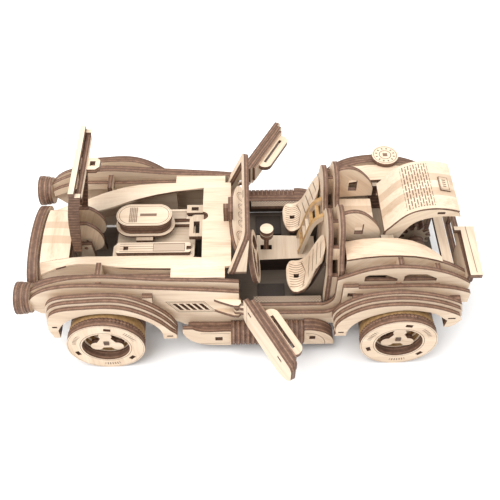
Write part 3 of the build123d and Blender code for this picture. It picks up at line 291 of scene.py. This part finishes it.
def dress(obj, bent=False, seed=0, fixed_axis=None):
    """Writes the grain direction, the charred edges and the tone of each ply into attributes."""
    mesh = obj.data
    count, faces = len(mesh.vertices), len(mesh.polygons)
    points = np.empty(count * 3)
    mesh.vertices.foreach_get("co", points)
    points = points.reshape(-1, 3)
    normals = np.empty(faces * 3)
    mesh.polygons.foreach_get("normal", normals)
    normals = normals.reshape(-1, 3)
    areas = np.empty(faces)
    mesh.polygons.foreach_get("area", areas)
    centres = np.empty(faces * 3)
    mesh.polygons.foreach_get("center", centres)
    centres = centres.reshape(-1, 3)
    first = np.array([polygon.vertices[0] for polygon in mesh.polygons])
    label = islands(mesh)
    face_label = label[first]
    co = np.zeros((count, 3))
    depth = np.zeros(count)
    edge = np.zeros(faces)
    tone = np.zeros(faces)
    for number, island in enumerate(np.unique(label)):
        mine, my_faces = label == island, face_label == island
        extent = np.ptp(points[mine], axis=0)
        if fixed_axis is not None and extent @ np.abs(fixed_axis) < 1.2 * PLY:
            axis = np.array(fixed_axis, dtype=float)
        elif fixed_axis is not None:
            axis = np.array((0.0, 0.0, 1.0) if extent[0] > 2 * PLY else (1.0, 0.0, 0.0))
        elif bent:
            spread = (normals[my_faces] * areas[my_faces, None]).T @ normals[my_faces]
            axis = np.linalg.eigh(spread)[1][:, -1]
        else:
            axis = main_axis(normals[my_faces], areas[my_faces])
        flat = points[mine] - np.outer(points[mine] @ axis, axis)
        spread = np.cov((flat - flat.mean(0)).T)
        long_way = np.linalg.eigh(spread)[1][:, -1]
        long_way -= axis * (long_way @ axis)
        long_way /= np.linalg.norm(long_way)
        side_way = np.cross(axis, long_way)
        through = points[mine] @ axis
        co[mine, 0] = points[mine] @ long_way + 0.37 * number + 0.11 * seed
        co[mine, 1] = points[mine] @ side_way + 0.23 * number + 0.07 * seed
        co[mine, 2] = through
        depth[mine] = (through - through.min()) / PLY
        edge[my_faces] = np.abs(normals[my_faces] @ axis) < (0.5 if bent else 0.9)
        layer = np.floor((centres[my_faces] @ axis - through.min()) / PLY + 0.02)
        tone[my_faces] = 0.5 + 0.5 * np.sin(12.9 * (number + 1) + 5.3 * layer + 2.1 * seed)
    if bent:
        tree = BVHTree.FromPolygons([tuple(p) for p in points],
                                    [tuple(p.vertices) for p in mesh.polygons])
        for i in range(faces):
            inward = -Vector(normals[i])
            hit = tree.ray_cast(Vector(centres[i]) + inward * 1e-5, inward)
            edge[i] = 0.0 if hit[3] is not None and hit[3] < BENT_LIMIT else 1.0
    for name, kind, domain, values in (("ply_co", "FLOAT_VECTOR", "POINT", co),
                                       ("ply_depth", "FLOAT", "POINT", depth),
                                       ("ply_edge", "FLOAT", "FACE", edge),
                                       ("ply_tone", "FLOAT", "FACE", tone)):
        layer = mesh.attributes.new(name, kind, domain)
        layer.data.foreach_set("vector" if kind == "FLOAT_VECTOR" else "value", values.ravel())


def shade(obj, degrees=32):
    """Smooth over curves, crisp at arrises."""
    obj.data.polygons.foreach_set("use_smooth", [True] * len(obj.data.polygons))
    obj.data.set_sharp_from_angle(angle=math.radians(degrees))


def cut_plies(node, material, bent=False, axis=None):
    """The plies of one CAD node, with their charred edges and grain laid on."""
    mesh = frame["nodes"][node].data.copy()
    mesh.materials.clear()
    mesh.materials.append(material)
    mesh.name = f"plies_{node}"
    obj = bpy.data.objects.new(f"plies_{node}", mesh)
    bpy.context.scene.collection.objects.link(obj)
    bm = bmesh.new()
    bm.from_mesh(mesh)
    bmesh.ops.remove_doubles(bm, verts=bm.verts, dist=1e-6)
    for face in bm.faces:
        face.material_index = 0
    bm.to_mesh(mesh)
    bm.free()
    for name in [a.name for a in mesh.attributes if a.name.startswith("custom_normal")]:
        mesh.attributes.remove(mesh.attributes[name])
    dress(obj, bent, sum(map(ord, node)) % 17, axis)
    shade(obj)
    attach(obj, BODY_OF[node])
    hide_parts(node)
    return obj


# ---------------------------------------------------------------- engraved marks, by piece
def twin_stripes(w):
    """The pair of racing stripes along the car's middle."""
    return w.band(w.math("ABSOLUTE", w.position[1]), 8 * MM, 4 * MM)


def louvre_frame(w):
    """A double line round the five louvres in the side panel."""
    x, z = w.position[0], w.position[2]
    slanted = w.math("ADD", x, w.math("MULTIPLY", w.math("SUBTRACT", z, 48.5 * MM), 0.667))
    outer = w.frame_line(slanted, z, (-46.5 * MM, 48.5 * MM), 15.2 * MM, 7.2 * MM, 0.6 * MM)
    inner = w.frame_line(slanted, z, (-46.5 * MM, 48.5 * MM), 13.8 * MM, 5.9 * MM, 0.4 * MM)
    return w.any_of(outer, inner)


def wheel_marks(axle_x):
    """Rings and groups of ticks on the wheel's face."""
    def marks(w):
        x, z = w.position[0], w.position[2]
        centre = (axle_x, 31 * MM)
        radius = w.radius(x, z, centre)
        angle = w.angle(x, z, centre)
        rings = w.any_of(w.band(radius, 20.4 * MM, 0.25 * MM), w.band(radius, 30.0 * MM, 0.15 * MM))
        ticks = w.repeat(angle, math.radians(4.6), 0.45)
        groups = w.repeat(angle, math.radians(120), 0.24, math.radians(25))
        ticks = w.all_of(ticks, groups, w.band(radius, 25.2 * MM, 1.6 * MM))
        return w.any_of(rings, ticks)
    return marks


def seat_marks(w):
    """Fluted lines: fore and aft on the cushion, across on the back."""
    side = w.math("SUBTRACT", w.math("ABSOLUTE", w.position[1]), 33 * MM)
    x, z = w.position[0], w.position[2]
    spread = w.math("DIVIDE", side, w.math("ADD", 1.0, w.math("MULTIPLY", w.math(
        "SUBTRACT", x, 34 * MM), -14.0)))
    flutes = w.all_of(w.repeat(spread, 2.7 * MM, 0.24), w.smooth(x, 47 * MM, 46 * MM),
                      w.smooth(x, 34.0 * MM, 34.8 * MM), w.band(side, 0.0, 13 * MM))
    creases = w.all_of(w.repeat(w.math("ADD", x, w.math("MULTIPLY", side, 0.10)), 2.7 * MM, 0.16),
                       w.smooth(z, 52 * MM, 54 * MM), w.smooth(z, 83 * MM, 81 * MM),
                       w.band(side, 0.0, 9 * MM))
    waist = w.all_of(w.band(w.math("SUBTRACT", z, w.math("MULTIPLY", w.math("ABSOLUTE", side),
                                                         -0.3)), 49 * MM, 0.4 * MM),
                     w.band(side, 0.0, 12 * MM))
    return w.any_of(flutes, creases, waist)


def lid_marks(w):
    """The plaque, and rows of short kerfs where the lid bends most."""
    x, y = w.position[0], w.position[1]
    rows = []
    for phase in (0.0, 0.5):
        rows.append(w.all_of(w.repeat(x, 4.2 * MM, 0.21, phase * 4.2 * MM),
                             w.repeat(y, 7.0 * MM, 0.82, phase * 7.0 * MM)))
    kerfs = w.all_of(w.any_of(*rows), w.band(x, 134.5 * MM, 10.5 * MM), w.band(y, 0.0, 23 * MM))
    return w.any_of(kerfs, plaque_marks(w))


def tab_ends(*places):
    """Dark ends of tabs: each place is two axis numbers, a centre and two half sizes, in mm."""
    def marks(w):
        masks = []
        for a, b, centre, half_a, half_b in places:
            masks.append(w.all_of(w.band(w.position[a], centre[0] * MM, half_a * MM),
                                  w.band(w.position[b], centre[1] * MM, half_b * MM)))
        return w.any_of(*masks)
    return marks


def wheel_gold(w):
    """The two middle rings of a wheel, whose edges are less charred."""
    return w.band(w.math("ABSOLUTE", w.position[1]), 81 * MM, 3.9 * MM)


def below(height):
    """Everything lower than the given height in mm."""
    return lambda w: w.smooth(w.position[2], (height + 0.3) * MM, (height - 0.3) * MM)


def shaded_cockpit_walls(w):
    """The inner sides of the rails beside the seats, where painted shade darkens them."""
    inside = w.smooth(w.math("ABSOLUTE", w.position[1]), 57.4 * MM, 56.8 * MM)
    return w.all_of(inside, w.band(w.position[0], 33 * MM, 40 * MM, 3 * MM))


def dash_marks(w):
    """Round dials along the dashboard."""
    y = w.position[1]
    height = w.math("SUBTRACT", w.position[2], 79.4 * MM)
    slope = w.math("DIVIDE", height, 0.62)
    masks = []
    for centre, radius in ((-31, 3.8), (-20, 5.4), (-6, 3.6), (3, 3.6), (12, 3.6), (24, 4.8)):
        r = w.radius(y, slope, (centre * MM, 0.0))
        masks.append(w.band(r, radius * MM, 0.3 * MM))
        masks.append(w.band(r, (radius - 1.5) * MM, 0.2 * MM))
    return w.any_of(*masks)


def mat_marks(w):
    """A checked pattern pressed into the floor mats and sill plates."""
    x, y = w.position[0], w.position[1]
    return w.any_of(w.repeat(w.math("ADD", x, y), 2.6 * MM, 0.22),
                    w.repeat(w.math("SUBTRACT", x, y), 2.6 * MM, 0.22))


def cap_marks(w):
    """Rings, dots and a dark square on the fuel cap."""
    x, y = w.position[0], w.position[1]
    centre = (119.8 * MM, 58 * MM)
    radius = w.radius(x, y, centre)
    angle = w.angle(x, y, centre)
    ring = w.any_of(w.band(radius, 9.9 * MM, 0.25 * MM), w.band(radius, 5.0 * MM, 0.35 * MM))
    ticks = w.all_of(w.repeat(angle, math.radians(30), 0.34), w.band(radius, 7.6 * MM, 0.9 * MM))
    square = w.all_of(w.band(x, centre[0], 2.0 * MM), w.band(y, centre[1], 2.0 * MM))
    return w.any_of(ring, ticks, square)


def filter_marks(w):
    """The air filter's top: an inset line, a slot and two meshed panels."""
    x = w.math("SUBTRACT", w.position[0], -87 * MM)
    y = w.math("SUBTRACT", w.position[1], 9 * MM)
    past = w.math("MAXIMUM", w.math("SUBTRACT", w.math("ABSOLUTE", x), 11.2 * MM), 0.0)
    reach = w.math("SQRT", w.math("ADD", w.math("MULTIPLY", past, past), w.math("MULTIPLY", y, y)))
    line = w.any_of(w.band(reach, 9.6 * MM, 0.25 * MM), w.band(reach, 11.2 * MM, 0.15 * MM))
    slot = w.all_of(w.band(x, 3.5 * MM, 7 * MM), w.band(y, 0.0, 1.5 * MM))
    mesh = w.any_of(w.repeat(x, 1.4 * MM, 0.4), w.repeat(y, 1.4 * MM, 0.4))
    panel = w.all_of(mesh, w.band(x, -9 * MM, 3.6 * MM), w.smooth(reach, 8.6 * MM, 8.2 * MM))
    top = w.smooth(w.position[2], 74.6 * MM, 75.0 * MM)
    return w.all_of(w.any_of(line, slot, panel), top)


def cover_marks(w):
    """Ribs, a plain plate and its outline on each valve cover."""
    x, y = w.position[0], w.position[1]
    side = w.math("SUBTRACT", w.math("ABSOLUTE", w.math("SUBTRACT", y, 2 * MM)), 17.8 * MM)
    ribs = w.all_of(w.repeat(side, 2.6 * MM, 0.2), w.band(x, -80 * MM, 27 * MM),
                    w.band(side, 0.0, 5.0 * MM))
    plate = w.all_of(w.band(x, -66 * MM, 12.5 * MM), w.band(side, 0.0, 3.6 * MM))
    outline = w.frame_line(x, side, (-66 * MM, 0.0), 13 * MM, 4.2 * MM, 0.5 * MM)
    return w.any_of(w.math("SUBTRACT", ribs, plate, True), outline,
                    w.math("MULTIPLY", plate, 0.45))


def door_marks(w):
    """A fine upright line near the door's hinge, on its outer face."""
    x, y = w.position[0], w.position[1]
    along = w.radius(x, w.math("ABSOLUTE", y), (-9.8 * MM, 70 * MM))
    return w.band(along, 11.2 * MM, 0.25 * MM)


def pipe_marks(w):
    """An inset line along the side pipe's elbow and tail."""
    x, z = w.position[0], w.position[2]
    elbow = w.all_of(w.band(z, 13.6 * MM, 0.3 * MM), w.band(x, -28 * MM, 12 * MM))
    upper = w.all_of(w.band(z, 28.4 * MM, 0.3 * MM), w.band(x, -28 * MM, 12 * MM))
    tail = w.band(w.radius(x, z, (47 * MM, 11 * MM)), 16 * MM, 0.3 * MM)
    return w.any_of(elbow, upper, w.all_of(tail, w.smooth(x, 46 * MM, 47 * MM)))


def rail_line(w):
    """The long line engraved on the tail rail."""
    x, y, z = w.position
    return w.all_of(w.band(x, 180.5 * MM, 0.35 * MM), w.band(y, 0.0, 56 * MM),
                    w.smooth(z, 74 * MM, 74.5 * MM))


def plaque_marks(w):
    """A plain bordered plate with bars on the boot lid."""
    x, y = w.position[0], w.position[1]
    here = w.all_of(w.band(x, 155.5 * MM, 4.8 * MM), w.band(y, 0.0, 8 * MM))
    border = w.frame_line(y, x, (0.0, 155.4 * MM), 6.6 * MM, 3.5 * MM, 0.5 * MM)
    bars = w.all_of(w.repeat(y, 2.2 * MM, 0.5), w.band(x, 155.4 * MM, 1.5 * MM),
                    w.band(y, 0.0, 5 * MM))
    return w.all_of(w.any_of(border, bars), here)


face_ply = plywood("birch ply")
shaded_ply = plywood("birch ply, inner", tint=0.80, edge_tint=0.8)
striped_ply = plywood("birch ply, racing stripes", stripe=twin_stripes)
lid_ply = plywood("birch ply, boot lid", stripe=twin_stripes, engrave=lid_marks)
# painted shade on the rails' inner sides beside the seats
rail_ply = plywood("birch ply, rails", shade_mask=shaded_cockpit_walls)
# painted shade: the floor plate and seat frames are darkened all over, as if in shadow under the
# body
shade_painted_ply = plywood("birch ply, painted shade", tint=0.5, edge_tint=0.6,
                    shade_mask=lambda w: w.math("ADD", 0.8, 0.0))
# painted shade: the gear, drum and hinges inside the body are darkened to about half
shade_dimmed_ply = plywood("birch ply, shade-dimmed", tint=0.55, edge_tint=0.7)
axle_ply = plywood("birch ply, axle ends", tint=0.25, edge_tint=0.6)
bonnet_tabs = tab_ends((0, 2, (-137, 78), 2.2, 1.4), (0, 2, (-127, 139), 2.2, 1.4))
screen_tabs = tab_ends((1, 2, (-53, 74), 1.2, 2), (1, 2, (53, 74), 1.2, 2), (1, 2, (0, 109), 4, 1))
panel_ply = plywood("birch ply, louvred panel", engrave=louvre_frame)
seat_ply = plywood("birch ply, seat", engrave=seat_marks)
MATERIAL = {
    "side_panel_left": panel_ply, "side_panel_right": panel_ply,
    "nose_panel": striped_ply, "rear_deck": striped_ply,
    "lid_skin": lid_ply, "bonnet_skin": striped_ply,
    "seat_left": seat_ply, "seat_right": seat_ply,
    "dash_panel": plywood("birch ply, dials", engrave=dash_marks),
    # painted shade on the mats below 30 mm; the mats are also made darker overall
    "cockpit_trim": plywood("birch ply, mats", engrave=mat_marks, tint=0.5, shade_mask=below(30)),
    "inner_rail_left": rail_ply, "inner_rail_right": rail_ply,
    "floor_plate": shade_painted_ply, "seat_frames": shade_painted_ply, "drive_gear": shade_dimmed_ply,
    "motor_drum": shade_dimmed_ply, "lid_hinge": shade_dimmed_ply, "bonnet_hinge_posts": shade_dimmed_ply,
    "front_axle": axle_ply, "rear_axle": axle_ply,
    # painted shade on the tunnel's sides below 40.8 mm; its edges above 42 mm take the golden
    # colour
    "tunnel": plywood("birch ply, tunnel", tint=0.86, shade_mask=below(40.8), gold=lambda w: w.smooth(
        w.position[2], 42 * MM, 43 * MM)),
    "bonnet_formers": plywood("birch ply, bonnet sides", engrave=bonnet_tabs),
    "windscreen": plywood("birch ply, windscreen", engrave=screen_tabs),
    "fuel_cap": plywood("birch ply, fuel cap", engrave=cap_marks),
    "air_filter": plywood("birch ply, air filter", engrave=filter_marks),
    "valve_covers": plywood("birch ply, valve covers", engrave=cover_marks, tint=0.95),
    "door_skin_left": plywood("birch ply, door", engrave=door_marks),
    "tail_rails": plywood("birch ply, tail rail", engrave=rail_line),
    "side_pipe_left": plywood("birch ply, side pipe", engrave=pipe_marks, tint=0.95),
}
MATERIAL["door_skin_right"] = MATERIAL["door_skin_left"]
MATERIAL["side_pipe_right"] = MATERIAL["side_pipe_left"]
for end, axle_x in (("front", -115 * MM), ("rear", 120 * MM)):
    wheel_ply = plywood(f"birch ply, {end} wheel", engrave=wheel_marks(axle_x), gold=wheel_gold)
    MATERIAL[f"wheel_{end}_left"] = wheel_ply
    MATERIAL[f"wheel_{end}_right"] = wheel_ply
INNER = ("bonnet_hinge_posts", "bulkheads", "engine_block", "lid_hinge", "drive_gear",
         "motor_drum")
AXIS = {"bonnet_formers": (0, 1, 0)}      # nodes whose plies all face one way
BENT = ("bonnet_deck", "nose_panel", "bonnet_skin", "seat_left", "seat_right", "lid_skin",
        "rear_deck")

for node in frame["nodes"]:
    material = MATERIAL.get(node, shaded_ply if node in INNER else face_ply)
    cut_plies(node, material, bent=node in BENT, axis=AXIS.get(node))


# ---------------------------------------------------------------- stage, camera and light
def flat_material(name, colour, rough):
    material = bpy.data.materials.new(name)
    material.use_nodes = True
    shader = material.node_tree.nodes["Principled BSDF"]
    shader.inputs["Base Color"].default_value = (*colour, 1.0)
    shader.inputs["Roughness"].default_value = rough
    shader.inputs["Specular IOR Level"].default_value = 0.1
    return material


floor_mesh = bpy.data.meshes.new("studio_floor")
bm = bmesh.new()
bmesh.ops.create_grid(bm, x_segments=1, y_segments=1, size=6.0)
bm.to_mesh(floor_mesh)
bm.free()
studio_floor = bpy.data.objects.new("studio_floor", floor_mesh)
studio_floor.data.materials.append(flat_material("white sweep", (0.93, 0.93, 0.93), 0.9))
bpy.context.scene.collection.objects.link(studio_floor)

camera_data = bpy.data.cameras.new("camera")
camera_data.sensor_width = 36.0
camera_data.lens = 52.64
camera = bpy.data.objects.new("camera", camera_data)
bpy.context.scene.collection.objects.link(camera)
AZIMUTH, ELEVATION, ROLL = math.radians(-1.07), math.radians(51.06), math.radians(0.10)
TARGET = Vector((1.9 * MM, 0.0, 37.4 * MM))
DISTANCE = 0.640
back = Vector((math.sin(AZIMUTH) * math.cos(ELEVATION), -math.cos(AZIMUTH) * math.cos(ELEVATION),
               math.sin(ELEVATION)))
camera.location = TARGET + back * DISTANCE
camera.rotation_euler = (back.to_track_quat("Z", "Y").to_matrix()
                         @ Matrix.Rotation(ROLL, 3, "Z")).to_euler()
camera_data.clip_end = 20.0
bpy.context.scene.camera = camera


def softbox(name, place, aim, size, power, colour=(1, 1, 1)):
    light = bpy.data.lights.new(name, "AREA")
    light.shape = "RECTANGLE"
    light.size, light.size_y = size
    light.energy = power
    light.color = colour
    obj = bpy.data.objects.new(name, light)
    obj.location = place
    obj.rotation_euler = (Vector(place) - Vector(aim)).to_track_quat("Z", "Y").to_euler()
    bpy.context.scene.collection.objects.link(obj)


softbox("key light", (-0.55, -0.45, 1.25), (0, 0, 0), (1.0, 1.0), 16.0, (1.0, 0.99, 0.975))
softbox("top light", (0.25, 0.25, 1.4), (0, 0, 0), (1.4, 1.4), 10.5)
world = bpy.data.worlds.new("studio white")
world.use_nodes = True
world.node_tree.nodes["Background"].inputs["Color"].default_value = (1, 1, 1, 1)
world.node_tree.nodes["Background"].inputs["Strength"].default_value = 0.88
bpy.context.scene.world = world
bpy.context.scene.view_settings.view_transform = "Standard"
